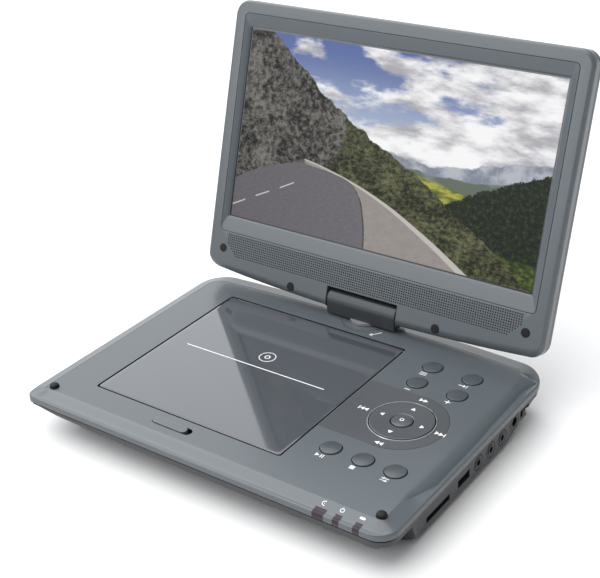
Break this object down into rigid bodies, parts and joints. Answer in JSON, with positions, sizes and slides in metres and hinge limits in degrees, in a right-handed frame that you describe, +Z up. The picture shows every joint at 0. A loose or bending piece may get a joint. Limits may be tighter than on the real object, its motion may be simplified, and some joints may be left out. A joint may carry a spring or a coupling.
{
  "type": "portable dvd player",
  "caption": "Flat base with a disc drive under a lid, push buttons and side sockets, and a wide screen on a swivel and tilt hinge.",
  "frame": {"origin": "on the table under the middle of the opened player's box", "axes": "+X to the player's right, +Y from the front edge towards the hinge, +Z up"},
  "size_m": [0.252, 0.2347, 0.2074],
  "materials": {
    "body_plastic": "moulded blue-grey plastic with a fine satin grain",
    "case_plastic": "moulded warm grey plastic, fine grain",
    "back_plastic": "moulded blue-grey plastic, satin",
    "well_plastic": "moulded dark grey plastic",
    "lid_gloss": "polished dark grey plastic",
    "key_plastic": "moulded grey plastic, satin",
    "rubber": "matt black rubber",
    "steel": "plain steel",
    "gunmetal": "satin gunmetal",
    "circuit_board": "green solder mask",
    "battery_foil": "wrapped pouch cell",
    "lcd_glass": "screen surface under a clear sheet",
    "black_plastic": "black plastic",
    "white_plastic": "white plastic",
    "tinted_window": "dark tinted window",
    "led_clear": "clear epoxy"
  },
  "bodies": {
    "base": {"upper_case": "body_plastic", "lower_case": "case_plastic", "rubber_feet": "rubber", "base_bumpers": "rubber", "case_screws": "steel", "main_board": "circuit_board", "key_board": "circuit_board", "tact_switches": "steel", "battery_pack": "battery_foil", "disc_well": "well_plastic", "drive_chassis": "steel", "chassis_grommets": "rubber", "spindle_motor": "steel", "guide_rods": "steel", "feed_motor": "steel", "swivel_plate": "steel", "card_socket": "steel", "usb_socket": "steel", "usb_tongue": "white_plastic", "headphone_jack": "black_plastic", "av_output_jack": "black_plastic", "av_input_jack": "black_plastic", "dc_inlet": "black_plastic", "power_switch": "black_plastic", "ir_window": "tinted_window", "power_lens": "tinted_window", "charge_lens": "tinted_window", "ir_receiver": "black_plastic", "indicator_leds": "led_clear"},
    "turntable": {"turntable": "black_plastic"},
    "sled": {"pickup_sled": "black_plastic"},
    "lead_screw": {"lead_screw": "steel"},
    "lid": {"disc_lid": "lid_gloss", "lid_pins": "steel"},
    "open_slider": {"open_slider": "key_plastic"},
    "power_knob": {"power_knob": "black_plastic"},
    "swivel": {"swivel_block": "gunmetal", "swivel_shaft": "steel", "swivel_retainer": "steel", "tilt_pins": "steel"},
    "screen": {"screen_bezel": "body_plastic", "screen_back": "back_plastic", "lcd_panel": "lcd_glass", "lcd_board": "circuit_board", "speaker_left": "black_plastic", "speaker_right": "black_plastic", "hinge_brackets": "steel", "screen_bumpers": "rubber", "screen_screws": "steel"},
    "dpad_rocker": {"dpad_rocker": "rubber"},
    "dpad_ring": {"dpad_ring": "key_plastic"},
    "button_menu": {"button_menu": "key_plastic"},
    "button_source": {"button_source": "key_plastic"},
    "button_volume_down": {"button_volume_down": "key_plastic"},
    "button_volume_up": {"button_volume_up": "key_plastic"},
    "button_play": {"button_play": "key_plastic"},
    "button_stop": {"button_stop": "key_plastic"},
    "button_setup": {"button_setup": "key_plastic"},
    "button_enter": {"button_enter": "key_plastic"}
  },
  "joints": [
    {"name": "screen_swivel", "type": "hinge", "parent": "base", "child": "swivel", "pos_m": [0, 0.0591, 0.027], "axis": [0, 0, 1], "range_deg": [-180, 0]},
    {"name": "screen_tilt", "type": "hinge", "parent": "swivel", "child": "screen", "pos_m": [0, 0.0591, 0.0357], "axis": [-1, 0, 0], "range_deg": [-107.16, 72.84]},
    {"name": "lid_hinge", "type": "hinge", "parent": "base", "child": "lid", "pos_m": [0, 0.03805, 0.02475], "axis": [-1, 0, 0], "range_deg": [0, 60]},
    {"name": "open_slide", "type": "slide", "parent": "base", "child": "open_slider", "axis": [1, 0, 0], "range_m": [0, 0.003], "stiffness_N_per_m": 150, "springref_m": -0.002},
    {"name": "power_slide", "type": "slide", "parent": "base", "child": "power_knob", "axis": [0, 1, 0], "range_m": [0, 0.003]},
    {"name": "turntable_spin", "type": "hinge", "parent": "base", "child": "turntable", "pos_m": [-0.02605, -0.02565, 0.0184], "axis": [0, 0, 1], "continuous": true},
    {"name": "sled_slide", "type": "slide", "parent": "base", "child": "sled", "axis": [0, -1, 0], "range_m": [0, 0.035]},
    {"name": "lead_screw_spin", "type": "hinge", "parent": "base", "child": "lead_screw", "pos_m": [-0.05805, 0, 0.011], "axis": [0, -1, 0], "continuous": true},
    {"name": "dpad_fore_aft", "type": "hinge", "parent": "base", "child": "dpad_rocker", "pos_m": [0.0797, -0.02825, 0.02], "axis": [1, 0, 0], "range_deg": [-2, 2], "stiffness_Nm_per_rad": 0.5},
    {"name": "dpad_left_right", "type": "hinge", "parent": "dpad_rocker", "child": "dpad_ring", "pos_m": [0.0797, -0.02825, 0.021], "axis": [0, 1, 0], "range_deg": [-2, 2], "stiffness_Nm_per_rad": 0.5},
    {"name": "button_menu_press", "type": "slide", "parent": "base", "child": "button_menu", "axis": [0, 0, -1], "range_m": [0, 0.0008], "stiffness_N_per_m": 400, "springref_m": -0.0005},
    {"name": "button_source_press", "type": "slide", "parent": "base", "child": "button_source", "axis": [0, 0, -1], "range_m": [0, 0.0008], "stiffness_N_per_m": 400, "springref_m": -0.0005},
    {"name": "button_volume_down_press", "type": "slide", "parent": "base", "child": "button_volume_down", "axis": [0, 0, -1], "range_m": [0, 0.0008], "stiffness_N_per_m": 400, "springref_m": -0.0005},
    {"name": "button_volume_up_press", "type": "slide", "parent": "base", "child": "button_volume_up", "axis": [0, 0, -1], "range_m": [0, 0.0008], "stiffness_N_per_m": 400, "springref_m": -0.0005},
    {"name": "button_play_press", "type": "slide", "parent": "base", "child": "button_play", "axis": [0, 0, -1], "range_m": [0, 0.0008], "stiffness_N_per_m": 400, "springref_m": -0.0005},
    {"name": "button_stop_press", "type": "slide", "parent": "base", "child": "button_stop", "axis": [0, 0, -1], "range_m": [0, 0.0008], "stiffness_N_per_m": 400, "springref_m": -0.0005},
    {"name": "button_setup_press", "type": "slide", "parent": "base", "child": "button_setup", "axis": [0, 0, -1], "range_m": [0, 0.0008], "stiffness_N_per_m": 400, "springref_m": -0.0005},
    {"name": "button_enter_press", "type": "slide", "parent": "base", "child": "button_enter", "axis": [0, 0, -1], "range_m": [0, 0.0008], "stiffness_N_per_m": 400, "springref_m": -0.0005}
  ],
  "couplings": [
    {"joint": "lead_screw_spin", "follows": "sled_slide", "rad_per_m": 2094.4}
  ]
}
